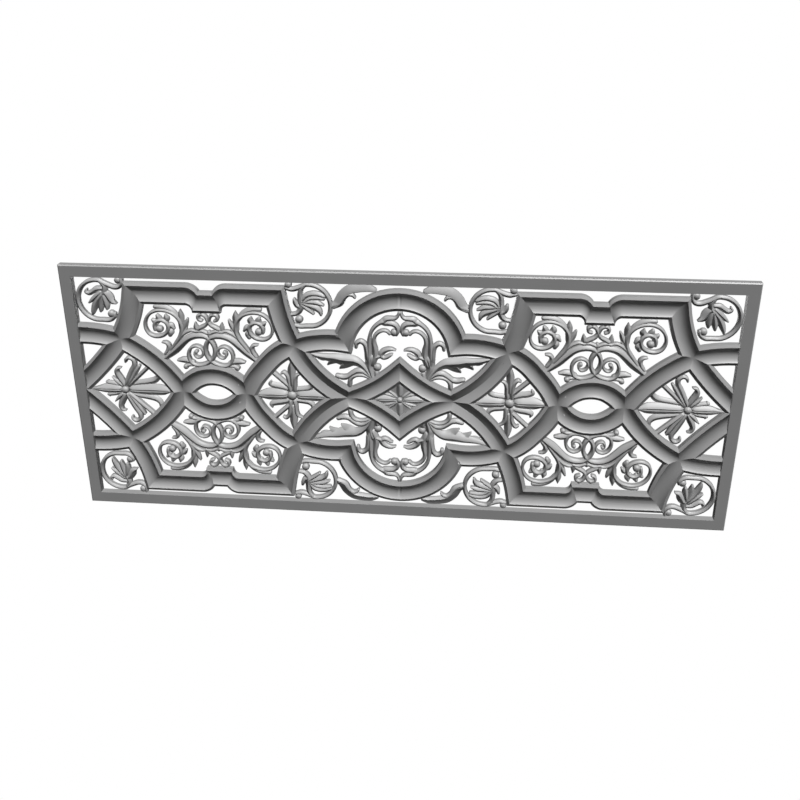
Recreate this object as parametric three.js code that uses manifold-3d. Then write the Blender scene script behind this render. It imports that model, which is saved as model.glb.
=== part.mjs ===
// Pierced carved panel: hollow-moulded interlaced straps with scrolls, leaves and flowers in a plain frame.
// Millimetres, +Z up. The carved face looks along -Y and the flat back lies on the plane y = 0.
// The origin is the centre of the back.
import * as THREE from 'three';
import { mergeVertices } from 'three/addons/utils/BufferGeometryUtils.js';
import Module from 'manifold-3d';

// Driving dimensions of the panel and its frame
const panelLength = 1000;
const panelHeight = 395;
const panelThickness = 12.5;
const frameBarWidth = 17.5;
const frameChamfer = 1.5;
const fitClearance = 0.3;
const trimOverrun = 2;

// Strap moulding: two sharp ridges, a hollow between them and a bevel outside each
const strapHalfWidth = 11.5;
const topStrapHalfWidth = 11.8;
const diagonalStrapHalfWidth = 12.3;
const cuspStrapHalfWidth = 10.8;
const strapBevelWidth = 4.5;
const strapBevelDrop = 2.8;
const ridgeBelowFace = 1.2;
const hollowDepth = 5;
const hollowFacets = 3;

// Carving between the straps
const carvingHeight = 7.6;
const eyeHeight = 9.6;
const eyeCrownShare = 0.6;
const cleftShare = 0.62;
const groundHeight = 4.5;
const groundOverlap = 6;
const scrollTolerance = 1.6;
const strapTolerance = 1.3;
const eyeSides = 8;

// The layout is drawn on a grid of squares stretched over the panel, counted from its centre.
// Each figure below is a share of the panel's length or height in these squares.
const gridColumns = 1000;
const gridRows = 395;
const columnPitch = panelLength / gridColumns;
const rowPitch = panelHeight / gridRows;
const gridPoint = ([column, row]) => new THREE.Vector2(column * columnPitch, row * rowPitch);

const openingHalfLength = panelLength / 2 - frameBarWidth;
const openingHalfHeight = panelHeight / 2 - frameBarWidth;
const ridgeHeight = panelThickness - ridgeBelowFace;

// Crossings and corners of the straps in the upper right quarter, in grid squares
const arch = { centre: [0, 71.3], radius: 85.6 };
const archCorner = [83.5, 89.5];
const innerCrossing = [157.5, 80];
const topInnerCorner = [181, 156.4];
const topOuterCorner = [393, 156.4];
const outerCrossing = [421, 82.5];
const diamondCusp = [0, 47.5];
const diamondCrossing = [78.2, 0];
const ovalInnerCrossing = [234.3, 0];
const ovalOuterCrossing = [331.5, 0];
const notchAxis = 284.8;
const trapezoidAxis = 284.5;

const wasm = await Module();
wasm.setup();

// Heights between which the carving is built before it is trimmed to its face and to the back
const trimmedRun = [-trimOverrun, carvingHeight + trimOverrun];

// Closed solid from a geometry, with its faces turned outwards
function solidFrom(geometry) {
  geometry.deleteAttribute('normal');
  geometry.deleteAttribute('uv');
  const merged = mergeVertices(geometry);
  const vertProperties = new Float32Array(merged.attributes.position.array);
  const corners = Array.from(merged.index.array);
  const isWhole = (face) => new Set(corners.slice(face, face + 3)).size === 3;
  const triVerts = new Uint32Array(corners.filter((_, i) => isWhole(i - (i % 3))));
  return new wasm.Manifold(new wasm.Mesh({ numProp: 3, vertProperties, triVerts }));
}

function geometryFrom(solid) {
  const mesh = solid.getMesh();
  const geometry = new THREE.BufferGeometry();
  geometry.setAttribute('position', new THREE.BufferAttribute(new Float32Array(mesh.vertProperties), 3));
  geometry.setIndex(new THREE.BufferAttribute(new Uint32Array(mesh.triVerts), 1));
  geometry.computeVertexNormals();
  return geometry;
}

// Joins a list two by two, so that small solids meet small solids
function joined(solids) {
  let layer = solids;
  while (layer.length > 1) {
    const next = [];
    for (let i = 0; i < layer.length; i += 2) {
      next.push(i + 1 < layer.length ? layer[i].add(layer[i + 1]) : layer[i]);
    }
    layer = next;
  }
  return layer[0];
}

function signedVolume(points, faces) {
  const cross = new THREE.Vector3();
  return faces.reduce((sum, [a, b, c]) => {
    cross.crossVectors(points[b], points[c]);
    return sum + points[a].dot(cross);
  }, 0);
}

// Skin over a row of rings with the same number of points, closed at each end by the given flat
// triangles, or by a fan
function loft(rings, cap = fanFaces(rings[0].length)) {
  const count = rings[0].length;
  const points = rings.flat();
  const faces = [];
  for (let r = 0; r + 1 < rings.length; r++) {
    for (let i = 0; i < count; i++) {
      const j = (i + 1) % count;
      const [a, b] = [r * count + i, r * count + j];
      faces.push([a, b, b + count], [a, b + count, a + count]);
    }
  }
  const last = (rings.length - 1) * count;
  cap.forEach(([a, b, c]) => faces.push([a, c, b], [last + a, last + b, last + c]));
  const outward = signedVolume(points, faces) > 0;
  const index = faces.flatMap(([a, b, c]) => (outward ? [a, b, c] : [a, c, b]));
  const geometry = new THREE.BufferGeometry().setFromPoints(points);
  geometry.setIndex(index);
  return solidFrom(geometry);
}

function fanFaces(count) {
  const faces = [];
  for (let i = 1; i + 1 < count; i++) {
    faces.push([0, i, i + 1]);
  }
  return faces;
}

// A place on the panel: across and up in the panel's plane, and a height above its back
const place = (flat, height) => new THREE.Vector3(flat.x, -height, flat.y);

// Drops the points of a fine line that lie within a tolerance of the chord between those it keeps
function simplified(line, tolerance) {
  const [first, last] = [line[0], line[line.length - 1]];
  const chord = last.clone().sub(first);
  let worst = 0;
  let split = 0;
  line.forEach((point, i) => {
    const along = THREE.MathUtils.clamp(point.clone().sub(first).dot(chord) / chord.lengthSq(), 0, 1);
    const gap = point.distanceTo(first.clone().addScaledVector(chord, along));
    if (gap > worst) {
      worst = gap;
      split = i;
    }
  });
  if (worst <= tolerance) {
    return [first, last];
  }
  const head = simplified(line.slice(0, split + 1), tolerance);
  return head.concat(simplified(line.slice(split), tolerance).slice(1));
}

// Arc from one grid point to another that rises to the left of the way between them
function bow(from, to, rise) {
  const [a, b] = [gridPoint(from), gridPoint(to)];
  const half = b.clone().sub(a).multiplyScalar(0.5);
  const middle = a.clone().add(half);
  const left = new THREE.Vector2(-half.y, half.x).normalize();
  const height = rise * columnPitch;
  const radius = (half.lengthSq() + height * height) / (2 * height);
  const centre = middle.addScaledVector(left, height - radius);
  const turn = 2 * Math.asin(half.length() / radius);
  const steps = Math.ceil(Math.abs(turn) / (2 * Math.acos(1 - strapTolerance / Math.abs(radius))));
  const points = [];
  for (let i = 0; i <= steps; i++) {
    points.push(a.clone().rotateAround(centre, -turn * i / steps));
  }
  return points;
}

// Smooth line through grid points
function through(points, tolerance = strapTolerance) {
  const places = points.map(gridPoint).map((p) => new THREE.Vector3(p.x, p.y, 0));
  const curve = new THREE.CatmullRomCurve3(places, false, 'centripetal');
  const finePerSpan = 12;
  const fine = curve.getPoints(places.length * finePerSpan);
  return simplified(fine, tolerance).map((p) => new THREE.Vector2(p.x, p.y));
}

const chain = (...lines) => lines.flatMap((line, i) => (i ? line.slice(1) : line));

// Sideways unit steps along a line, lengthened at corners so that both sides keep their distance
function sideSteps(line) {
  const normals = line.slice(1).map((p, i) => {
    const step = p.clone().sub(line[i]).normalize();
    return new THREE.Vector2(-step.y, step.x);
  });
  return line.map((_, i) => {
    const before = normals[Math.max(i - 1, 0)];
    const after = normals[Math.min(i, normals.length - 1)];
    return before.clone().add(after).divideScalar(1 + before.dot(after));
  });
}

// A strap runs through points that carry its half-width and, where the moulding leans, a sideways
// step of their own
function strap(points) {
  const sides = sideSteps(points.map(({ at }) => at)).map((side, i) => points[i].side ?? side);
  const skin = (section) => {
    const outline = section(points[0]).map(([across, height]) => new THREE.Vector2(across, height));
    const cap = THREE.ShapeUtils.triangulateShape(outline, []).map((face) => face.sort((a, b) => a - b));
    return loft(points.map((point, i) => section(point).map(
      ([across, height]) => place(point.at.clone().addScaledVector(sides[i], across), height))), cap);
  };
  return { body: skin(strapSection), hollow: skin(strapHollow) };
}

// Upright sides, a bevel up to each ridge and the hollow between the ridges
function strapSection({ half }) {
  const foot = half + strapBevelWidth;
  const shoulder = ridgeHeight - strapBevelDrop;
  const side = (across) => [[across, -trimOverrun], [across, shoulder]];
  return [...side(-foot), ...hollowLine(half), ...side(foot).reverse()];
}

// Space over the hollow, which clears the other straps where they cross
function strapHollow({ half }) {
  return [[-half, panelThickness], ...hollowLine(half), [half, panelThickness]];
}

// Round hollow from ridge to ridge
function hollowLine(half) {
  const radius = (half * half + hollowDepth * hollowDepth) / (2 * hollowDepth);
  const reach = Math.asin(half / radius);
  const line = [];
  for (let i = 0; i <= hollowFacets; i++) {
    const angle = reach * (2 * i / hollowFacets - 1);
    line.push([radius * Math.sin(angle), ridgeHeight - hollowDepth + radius * (1 - Math.cos(angle))]);
  }
  return line;
}

// Ogee notch in the middle of the top strap, with the lean of the moulding at each point
function topNotch() {
  const radius = 15.3;
  const drop = 11.4;
  const halfFlat = 15.6;
  const lean = 0.34;
  const steps = 3;
  const turn = Math.acos(1 - drop / radius);
  const reach = radius * Math.sin(turn);
  const points = [];
  for (let i = 0; i <= steps; i++) {
    const angle = turn * i / steps;
    const column = notchAxis - halfFlat - reach + radius * Math.sin(angle);
    const row = topInnerCorner[1] - radius * (1 - Math.cos(angle));
    points.push({ at: gridPoint([column, row]), side: new THREE.Vector2(lean * i / steps, 1) });
  }
  return points.concat(points.map((point) => mirroredPoint(point, gridPoint([notchAxis, 0]).x)).reverse());
}

function mirroredPoint(point, axis = 0) {
  const { at, side } = point;
  return {
    ...point,
    at: new THREE.Vector2(2 * axis - at.x, at.y),
    side: side && new THREE.Vector2(-side.x, side.y),
  };
}

// Two straps of the right half from the middle to the frame; each crosses itself mirrored in the long axis
function straps() {
  const pastFrame = gridColumns / 2;
  const lowerCusp = [diamondCusp[0], -diamondCusp[1]];
  const inward = [innerCrossing, [170.3, 75.3], [186, 64.5], [202, 47.8], [218.9, 27], ovalInnerCrossing];
  const oval = [ovalInnerCrossing, [242, -11], [253, -20.5], [267, -27.2], [282.8, -29.6], [298.6, -27.4],
    [312.5, -20.5], [323.7, -11], ovalOuterCrossing];
  const plain = (line, half = strapHalfWidth) => line.map((at) => ({ at, half }));
  const archStrap = plain(chain(
    archLine(),
    bow(archCorner, innerCrossing, 5),
    through(inward),
    through(oval),
    bow(ovalOuterCrossing, outerCrossing, 9.2),
    bow(outerCrossing, [pastFrame, 89.5], 3.6)));
  const topStrap = [
    ...chain(
      plain(bow(lowerCusp, diamondCrossing, 4.5), cuspStrapHalfWidth),
      plain(bow(diamondCrossing, innerCrossing, -9.5), diagonalStrapHalfWidth),
      plain(bow(innerCrossing, topInnerCorner, -3), topStrapHalfWidth)),
    ...topNotch().map((point) => ({ ...point, half: topStrapHalfWidth })),
    ...chain(
      plain(bow(topOuterCorner, outerCrossing, -4), topStrapHalfWidth),
      plain(bow(outerCrossing, [pastFrame, 0.5], -3.4))),
  ];
  return [archStrap, topStrap].map((points) => {
    const left = points.slice(1).map((point) => mirroredPoint(point));
    return strap([...left.reverse(), ...points]);
  });
}

function archLine() {
  const centre = gridPoint(arch.centre);
  const end = gridPoint(archCorner);
  const start = Math.atan2(end.y - centre.y, end.x - centre.x);
  const radius = arch.radius * columnPitch;
  const steps = Math.ceil((Math.PI / 2 - start) / (2 * Math.acos(1 - strapTolerance / radius)));
  const points = [];
  for (let i = 0; i <= steps; i++) {
    const angle = start + (Math.PI / 2 - start) * i / steps;
    points.push(new THREE.Vector2(centre.x + radius * Math.cos(angle), centre.y + radius * Math.sin(angle)));
  }
  points[0].copy(end);
  return points.reverse();
}

// Turn of a scroll as grid points: centre, angles in degrees, and a radius that changes evenly on the way
function turnOf([column, row], from, to, startRadius, endRadius, startHalf, endHalf = startHalf) {
  const stepAngle = 2 * Math.acos(1 - scrollTolerance / (columnPitch * startRadius));
  const steps = Math.ceil(THREE.MathUtils.degToRad(Math.abs(to - from)) / stepAngle);
  const points = [];
  for (let i = 0; i <= steps; i++) {
    const share = i / steps;
    const angle = THREE.MathUtils.degToRad(THREE.MathUtils.lerp(from, to, share));
    const radius = THREE.MathUtils.lerp(startRadius, endRadius, share);
    const half = THREE.MathUtils.lerp(startHalf, endHalf, share);
    points.push([column + radius * Math.cos(angle), row + radius * Math.sin(angle), half]);
  }
  return points;
}

// Rounded stem or leaf lobe along grid points that carry its half-width
function stem(points, { x = 1, z = 1 } = {}) {
  const places = points.map(([column, row, half]) => {
    const flat = gridPoint([column * x, row * z]);
    return new THREE.Vector3(flat.x, flat.y, half * columnPitch);
  });
  const flats = places.map((p) => new THREE.Vector2(p.x, p.y));
  const sides = sideSteps(flats);
  const rings = flats.map((flat, i) => {
    const half = places[i].z;
    const [low, high] = trimmedRun;
    const section = [[-half, low], [-half, high], [half, high], [half, low]];
    return section.map(([across, height]) => place(flat.clone().addScaledVector(sides[i], across), height));
  });
  return loft(rings);
}

// Fan of pointed lobes about one grid point; each lobe is its direction in degrees and its reach in squares
function fan({ at, lobes }, { x = 1, z = 1 } = {}) {
  const tips = lobes.map(([degrees, reach]) => {
    const angle = THREE.MathUtils.degToRad(degrees);
    return [at[0] + reach * Math.cos(angle), at[1] + reach * Math.sin(angle)];
  });
  const clefts = tips.slice(1).map((tip, i) => tip.map(
    (value, k) => THREE.MathUtils.lerp(at[k], (value + tips[i][k]) / 2, cleftShare)));
  const outline = [at, ...tips.flatMap((tip, i) => (i ? [clefts[i - 1], tip] : [tip]))];
  const ring = (height) => outline.map(([column, row]) => place(gridPoint([column * x, row * z]), height));
  return loft(trimmedRun.map(ring));
}

// Round eye of a flower: an upright side and a flat top with a slope around it
function eye([column, row, radius], x = 1) {
  const centre = gridPoint([column * x, row]);
  const ring = (share, height) => {
    const points = [];
    for (let i = 0; i < eyeSides; i++) {
      const angle = 2 * Math.PI * i / eyeSides;
      const spoke = new THREE.Vector2(Math.cos(angle), Math.sin(angle));
      points.push(place(centre.clone().addScaledVector(spoke, radius * share * columnPitch), height));
    }
    return points;
  };
  return loft([ring(1, -trimOverrun), ring(1, carvingHeight), ring(eyeCrownShare, eyeHeight)]);
}

// Leaf that fills the space between the arch and the frame
const spandrelLeaf = {
  stems: [
    [[33, 166, 3.5], [48, 174.5, 6.5], [73, 171.5, 8], [85, 162.5, 7], [98, 147, 4.6]],
    [[66, 159, 1.6], [76, 162, 3], [88, 150, 4.5]],
  ],
};

// Ring scroll with a palmette inside
const ringScroll = {
  stems: [
    [[153, 109, 3.2], ...turnOf([131.8, 143], 290, 85, 33.5, 32, 3.2), [150, 168.8, 3], [165, 171, 4]],
    [[137, 173.5, 2.6], [145, 159, 4], [143, 145, 5]],
    [[143, 150, 3.4], [145, 132, 3.4], [160, 129.5, 3.2]],
    [[147, 131, 3.4], [151, 144, 4], [154.6, 156, 0]],
    [[150, 130, 3], [147.6, 118, 5.2]],
  ],
  fans: [{ at: [146, 151], lobes: [[163, 39], [186, 37], [214, 37], [228, 28]] }],
};

// Forked stem with a curling leaf head, a hook, a comma leaf and a bud, under the arch
const forkedStem = {
  stems: [
    [[39, 32, 4], [45, 52, 6.2], [43, 66, 8]],
    [[39.5, 60, 4.5], [39, 76, 4.2], [40.6, 96, 2.9], [30, 109.5, 2.8], [17, 110, 2.6], [10, 105, 4.8]],
    [[46, 60, 5], [46.6, 90, 3.6], [37, 117, 2.8], [24, 125, 4.4], [6, 130, 2.8], [0, 141, 2.4]],
    [[27, 122.3, 3.6], [7, 120, 3], [0, 108, 2.6]],
    [[47.5, 66, 4], [53, 89, 3.4], [61, 89, 3], [65, 79, 0]],
    [[36, 67, 4.6], [23, 80, 4], [4, 80, 0]],
    [[35, 38, 3], [34, 53, 4.6]],
  ],
};

// Acanthus leaf that runs from the foot of the stem to the diagonal strap
const acanthusLeaf = {
  stems: [
    [[43, 36, 4], [57, 56, 4], [77, 64.6, 6], [131, 69.5, 2.4]],
    [[70, 60.5, 5.4], [92, 47, 0]],
    [[88, 63, 5.4], [109, 51, 0]],
    [[103, 65.5, 4.2], [124, 62, 0]],
  ],
};

// Pair of small leaves below the acanthus
const leafPair = {
  stems: [
    [[43, 35, 3.4], [61, 43.4, 3.8], [78, 34.5, 3.8], [92, 35, 3.4]],
    [[62, 41, 3], [75.4, 22, 3.8]],
  ],
};

// Flower between the diagonal straps: a bud, two hooks, a tie bar and two leaves
const sideFlower = {
  stems: [
    [[163, 3, 4.4], [163, 34, 4], [163, 44, 6], [161.8, 59, 0]],
    [[161, 8, 4], [158, 30, 3.2], [147, 37, 0]],
    [[165, 8, 4], [168.5, 30, 3.2], [179, 38, 0]],
    [[168, 14.5, 3.1], [194, 40.5, 3.1]],
    [[160, 9, 4], [138, 12, 4.2], [133, 25, 0]],
    [[166, 9, 4], [192, 14.6, 5], [196.6, 26, 0]],
  ],
  axisStems: [[[163, 0, 7.4], [124, 0, 6.6], [101, 0, 0]], [[163, 0, 7.4], [192, 0, 8.2], [223, 0, 0]]],
  axisEyes: [[163.5, 0, 7.2]],
};

// Flower at the end of the panel: tie bar, curling stems and two leaves
const endFlower = {
  stems: [
    [[418, 4, 2.8], [374, 43.5, 2.8]],
    [[419, 8, 4], [401, 34, 2.8], [394, 45, 0]],
    [[421, 8, 4], [408.5, 32, 3.4], [405.6, 50, 2.9], [412, 53.6, 2.5], [418, 45, 0]],
    [[424, 6, 4], [431.8, 27, 4.2], [424, 39, 0]],
    [[424, 8, 3.4], [444, 24, 0]],
    [[416, 7, 4.4], [387, 12.4, 4.8], [371, 22, 3.6], [371.6, 32, 0]],
    [[427, 6, 3.6], [449, 11.6, 3.4], [457, 9, 0]],
  ],
  axisStems: [[[423, 0, 6.6], [396, 0, 8], [345, 0, 0]], [[423, 0, 6], [446, 0, 7], [480, 0, 0]]],
  axisEyes: [[423.2, 0, 5.8]],
};

// Corner scroll with a lobed leaf
const cornerScroll = {
  stems: [
    [[412, 177, 4.6], [412, 166, 3], [429, 165.2, 3.3], ...turnOf([447, 142.8], 95, -140, 31.4, 31.6, 3.2),
      [430, 127, 4.6]],
    [[444, 171.5, 3], [438, 156, 3.8]],
    [[440, 157, 3.4], [455, 158, 4.2], [464, 152, 2.6]],
  ],
  fans: [{ at: [438, 158.5], lobes: [[221, 28], [264, 31], [282, 36], [299, 43], [319, 32]] }],
};

// Left half of the carving in the trapezoid, measured from the trapezoid's axis, minus to the left
const trapezoidHalf = {
  stems: [
    [[-75, 54, 3.6], [-52, 70.5, 5.2], [-33, 87, 3.5], ...turnOf([-17, 69], 92, -128, 24, 23.2, 3.1),
      ...turnOf([-22.5, 65.8], 175, 0, 11, 10.2, 2.7, 2.4), [-23, 61, 3.4]],
    [[-66, 62, 3], [-47, 86, 3.8], ...turnOf([-69.5, 104.5], 8, 190, 28, 27, 2.8, 2.4),
      ...turnOf([-75.5, 101], 232, 375, 16, 13.4, 2.6, 3), [-77, 103, 5.4]],
    [[-70, 104, 6], [-82, 121, 0]],
    [[-63, 106, 5], [-64.4, 126, 0]],
    [[-63, 101, 5], [-51, 101, 0]],
    [[-46, 118, 3.6], [-60, 133, 4.2], [-83, 135.4, 2.8]],
    [[-43, 104, 3], [-43.4, 124, 4.8], [-42.4, 136, 0]],
    [[-43, 97, 4.4], [-31.8, 123, 0]],
    [[-52, 80, 3.4], [-34, 95, 2.9], [0, 98, 2.4]],
    [[-66, 64, 5], [-74, 80, 0]],
    [[-28, 47, 2.6], [-40, 54, 4.2], [-56, 53, 0]],
    [[-24, 45.2, 2.6], [-42, 42.6, 3]],
    [[-9, 116, 2.4], [-12, 126, 2.4], [-4, 124, 2.6], [2, 112, 2.4], [20, 98, 2.2]],
    [[0, 99, 2.4], [0, 88, 2.6]],
    [[-8, 122, 2.4], [-8, 134, 2.2]],
  ],
};

// Rosette of the central diamond over a sunk ground: petals on the axes and a leaf between them
const rosette = { stems: [[[2, 2, 2.4], [12, 9, 3.4], [22, 13, 0]]] };
const rosettePetals = {
  long: [[0, 0, 4], [10, 0, 5.2], [24, 0, 5.4], [44, 0, 0]],
  tall: [[0, 0, 4], [0, 9, 5.6], [0, 17, 6.2], [0, 32, 0]],
};
const rosetteEye = [0, 0, 4.2];

const motifs = [
  spandrelLeaf, ringScroll, forkedStem, acanthusLeaf, leafPair, sideFlower, endFlower, cornerScroll, rosette,
];
const bothSigns = [1, -1];

// Every solid of one motif, repeated in the quarters of the panel
function repeated({ stems, fans = [], axisStems = [] }) {
  const solids = [];
  for (const x of bothSigns) {
    for (const z of bothSigns) {
      solids.push(...stems.map((points) => stem(points, { x, z })));
      solids.push(...fans.map((spec) => fan(spec, { x, z })));
    }
    solids.push(...axisStems.map((points) => stem(points, { x })));
  }
  return solids;
}

// The trapezoid's carving is symmetrical about its own axis
function trapezoidCarving() {
  const shifted = (points, side) => points.map(([column, row, half]) => [trapezoidAxis + column * side, row, half]);
  return bothSigns.flatMap((side) => repeated({
    stems: trapezoidHalf.stems.map((points) => shifted(points, side)),
  }));
}

function axisPetals() {
  return bothSigns.flatMap((sign) => [
    stem(rosettePetals.long, { x: sign }),
    stem(rosettePetals.tall, { z: sign }),
  ]);
}

// Raised eyes of the rosette and of the flowers on the long axis
function flowerEyes() {
  const specs = [...sideFlower.axisEyes, ...endFlower.axisEyes];
  return [eye(rosetteEye), ...bothSigns.flatMap((x) => specs.map((spec) => eye(spec, x)))];
}

// Sunk ground that closes the diamond behind the rosette and runs under its straps
function diamondGround() {
  const reach = gridPoint([diamondCrossing[0], diamondCusp[1]]);
  const share = 1 - groundOverlap / reach.length();
  const between = 0.42;
  const corners = bothSigns.flatMap((side) => [[side, 0], [between * side, between * side], [0, side],
    [-between * side, between * side]]);
  const ring = (height) => corners.map(
    ([x, z]) => place(new THREE.Vector2(x * reach.x * share, z * reach.y * share), height));
  return loft([ring(-trimOverrun), ring(groundHeight)]);
}

// Rectangular ring of points at a height above the back
function rectangle(halfLength, halfHeight, height) {
  const signs = [[1, 1], [-1, 1], [-1, -1], [1, -1]];
  return signs.map(([x, z]) => place(new THREE.Vector2(x * halfLength, z * halfHeight), height));
}

function makeOpenwork() {
  const upper = straps();
  const lower = upper.map(({ body, hollow }) => ({ body: upturned(body), hollow: upturned(hollow) }));
  const all = [...upper, ...lower];
  const tall = joined([...motifs.flatMap(repeated), ...trapezoidCarving(), ...axisPetals()]);
  const trimmed = tall.intersect(openingBlock(-panelThickness, carvingHeight));
  const carving = joined([trimmed, ...flowerEyes(), diamondGround()]);
  const bodies = joined(all.map(({ body }) => body));
  const hollows = joined(all.map(({ hollow }) => hollow));
  return geometryFrom(bodies.add(carving).subtract(hollows).intersect(openingBlock(0, 2 * panelThickness)));
}

// Block that fills the opening of the frame between two heights
function openingBlock(low, high) {
  const inside = [openingHalfLength - fitClearance, openingHalfHeight - fitClearance];
  return loft([rectangle(...inside, low), rectangle(...inside, high)]);
}

// The same solid mirrored in the panel's long axis
function upturned(solid) {
  const { vertProperties, triVerts } = solid.getMesh();
  const [signs, swap] = [[1, 1, -1], [0, 2, 1]];
  const positions = Float32Array.from(vertProperties, (value, i) => value * signs[i % 3]);
  const triangles = Uint32Array.from(triVerts, (_, i) => triVerts[i - (i % 3) + swap[i % 3]]);
  return new wasm.Manifold(new wasm.Mesh({ numProp: 3, vertProperties: positions, triVerts: triangles }));
}

// Plain flat frame with a small chamfer on the front edges inside and outside
function makeFrame() {
  const [halfLength, halfHeight] = [panelLength / 2, panelHeight / 2];
  const shoulder = panelThickness - frameChamfer;
  const outside = loft([
    rectangle(halfLength, halfHeight, 0),
    rectangle(halfLength, halfHeight, shoulder),
    rectangle(halfLength - frameChamfer, halfHeight - frameChamfer, panelThickness),
  ]);
  const opening = loft([
    rectangle(openingHalfLength, openingHalfHeight, -panelThickness),
    rectangle(openingHalfLength, openingHalfHeight, 2 * panelThickness),
  ]);
  return geometryFrom(outside.subtract(opening));
}

const paintedGrey = new THREE.MeshStandardMaterial({ color: 0x8c8c8c, roughness: 0.55, metalness: 0 });

function namedMesh(name, geometry) {
  const mesh = new THREE.Mesh(geometry, paintedGrey.clone());
  mesh.name = name;
  return mesh;
}

const carvedPanel = new THREE.Group();
carvedPanel.add(namedMesh('frame', makeFrame()));
carvedPanel.add(namedMesh('openwork', makeOpenwork()));

export default carvedPanel;
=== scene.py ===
"""Looks of the pierced carved panel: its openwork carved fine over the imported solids, in grey satin paint.

Lengths are in millimetres until a mesh is made. A flat point is (across, up) in the plane of the panel,
and a height is counted from its flat back, which lies on the plane y = 0 and faces +Y.
"""

import math

import bmesh
import bpy
import numpy as np
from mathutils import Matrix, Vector


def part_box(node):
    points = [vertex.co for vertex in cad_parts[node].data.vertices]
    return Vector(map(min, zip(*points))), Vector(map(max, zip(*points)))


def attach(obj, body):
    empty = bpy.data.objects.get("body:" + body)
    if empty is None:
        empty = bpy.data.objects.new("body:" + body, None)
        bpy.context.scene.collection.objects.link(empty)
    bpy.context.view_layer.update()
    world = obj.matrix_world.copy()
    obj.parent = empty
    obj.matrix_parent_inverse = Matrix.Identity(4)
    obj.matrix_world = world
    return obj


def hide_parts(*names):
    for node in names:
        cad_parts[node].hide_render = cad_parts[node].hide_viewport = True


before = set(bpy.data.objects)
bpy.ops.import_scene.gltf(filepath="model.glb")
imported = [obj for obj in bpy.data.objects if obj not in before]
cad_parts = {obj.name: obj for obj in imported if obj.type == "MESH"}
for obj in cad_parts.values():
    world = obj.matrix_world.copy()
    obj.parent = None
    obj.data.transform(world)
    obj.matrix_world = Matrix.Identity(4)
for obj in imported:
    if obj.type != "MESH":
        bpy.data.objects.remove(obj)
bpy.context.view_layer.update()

# Driving sizes, taken from the frame
MM = 0.001
frame_low, frame_high = (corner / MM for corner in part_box("frame"))
openwork_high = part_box("openwork")[1] / MM
PANEL_LENGTH, PANEL_THICKNESS, PANEL_HEIGHT = frame_high - frame_low

# The layout is drawn on the same grid of squares as the solids, counted from the panel's centre
GRID_COLUMNS = 1000
GRID_ROWS = 395
COLUMN_PITCH = PANEL_LENGTH / GRID_COLUMNS
ROW_PITCH = PANEL_HEIGHT / GRID_ROWS

# Strap moulding: two sharp ridges, a hollow between them and a bevel outside each
STRAP_HALF_WIDTH = 11.5
TOP_STRAP_HALF_WIDTH = 11.8
DIAGONAL_STRAP_HALF_WIDTH = 12.3
CUSP_STRAP_HALF_WIDTH = 10.8
STRAP_BEVEL_WIDTH = 4.5
STRAP_BEVEL_DROP = 2
RIDGE_BELOW_FACE = 1.2
HOLLOW_DEPTH = 5
HOLLOW_FACETS = 16
RIDGE_HEIGHT = PANEL_THICKNESS - RIDGE_BELOW_FACE

# Carving between the straps: how high its backs stand and how they fall away to their sides
CROWN_HEIGHT = 8.6
LEAF_HEIGHT = 6.6
LOBE_HEIGHT = 5.4
ARM_HEIGHT = 9.8
TIP_DROP = 2.4
FULL_CROWN_HALF_WIDTH = 2.8
BACK_RISE = 0.85
BACK_POWER = 1.5
GROOVE_DEPTH = 1.4
GROOVE_SHARE = 0.4
GROOVE_WIDTH = 0.9
STEM_FACETS = 10
END_TURN_DEGREES = [78, 52, 26]
EYE_HEIGHT = 9.4
FLOWER_EYE_HEIGHT = 12.2
EYE_RISE = 0.9
EYE_SIDES = 18
EYE_LEVELS = 5
GROUND_HEIGHT = 4.5
GROUND_OVERLAP = 6
OVERRUN = 2

# Faces of the straps and of the carving between them are told apart by their material slot
STRAP, CARVING = 0, 1
SHARP_STRAP_DEGREES = 7
SHARP_CARVING_DEGREES = 38

# How far a chord may lie off the true curve
STRAP_TOLERANCE = 0.06
NOTCH_TOLERANCE = 0.025
CARVING_TOLERANCE = 0.11
SPAN_STEPS = 12

# Crossings, corners, axes and ends of the straps in the upper right quarter, in grid squares
ARCH_CENTRE = [0, 71.3]
ARCH_RADIUS = 85.6
ARCH_CORNER = [83.5, 89.5]
INNER_CROSSING = [157.5, 80]
TOP_INNER_CORNER = [181, 156.4]
TOP_OUTER_CORNER = [393, 156.4]
OUTER_CROSSING = [421, 82.5]
LOWER_CUSP = [0, -47.5]
DIAMOND_CROSSING = [78.2, 0]
OVAL_INNER_CROSSING = [234.3, 0]
OVAL_OUTER_CROSSING = [331.5, 0]
NOTCH_AXIS = 284.8
TRAPEZOID_AXIS = 284.5
ARCH_STRAP_END = [GRID_COLUMNS / 2, 89.5]
TOP_STRAP_END = [GRID_COLUMNS / 2, 0.5]

# Painted shade on faces that look sideways: axis, where the darkening starts and ends, and the share left
PAINTED_SIDE_SHADES = [("Y", 0.3, 0.1, 0.65), ("X", 0.7, 0.95, 0.45)]

# Lights: strength, degrees above the horizon, and degrees from the front to the right
KEY_LIGHT = (4.65, 67, 48)
BACK_LIGHT = (1.6, -12, 180)
LIGHT_SPREAD_DEGREES = 20
FILL_STRENGTH = 0.045


def on_grid(points):
    """Flat points in millimetres from grid points."""
    return np.atleast_2d(np.array(points, float)) * [COLUMN_PITCH, ROW_PITCH]


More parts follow.
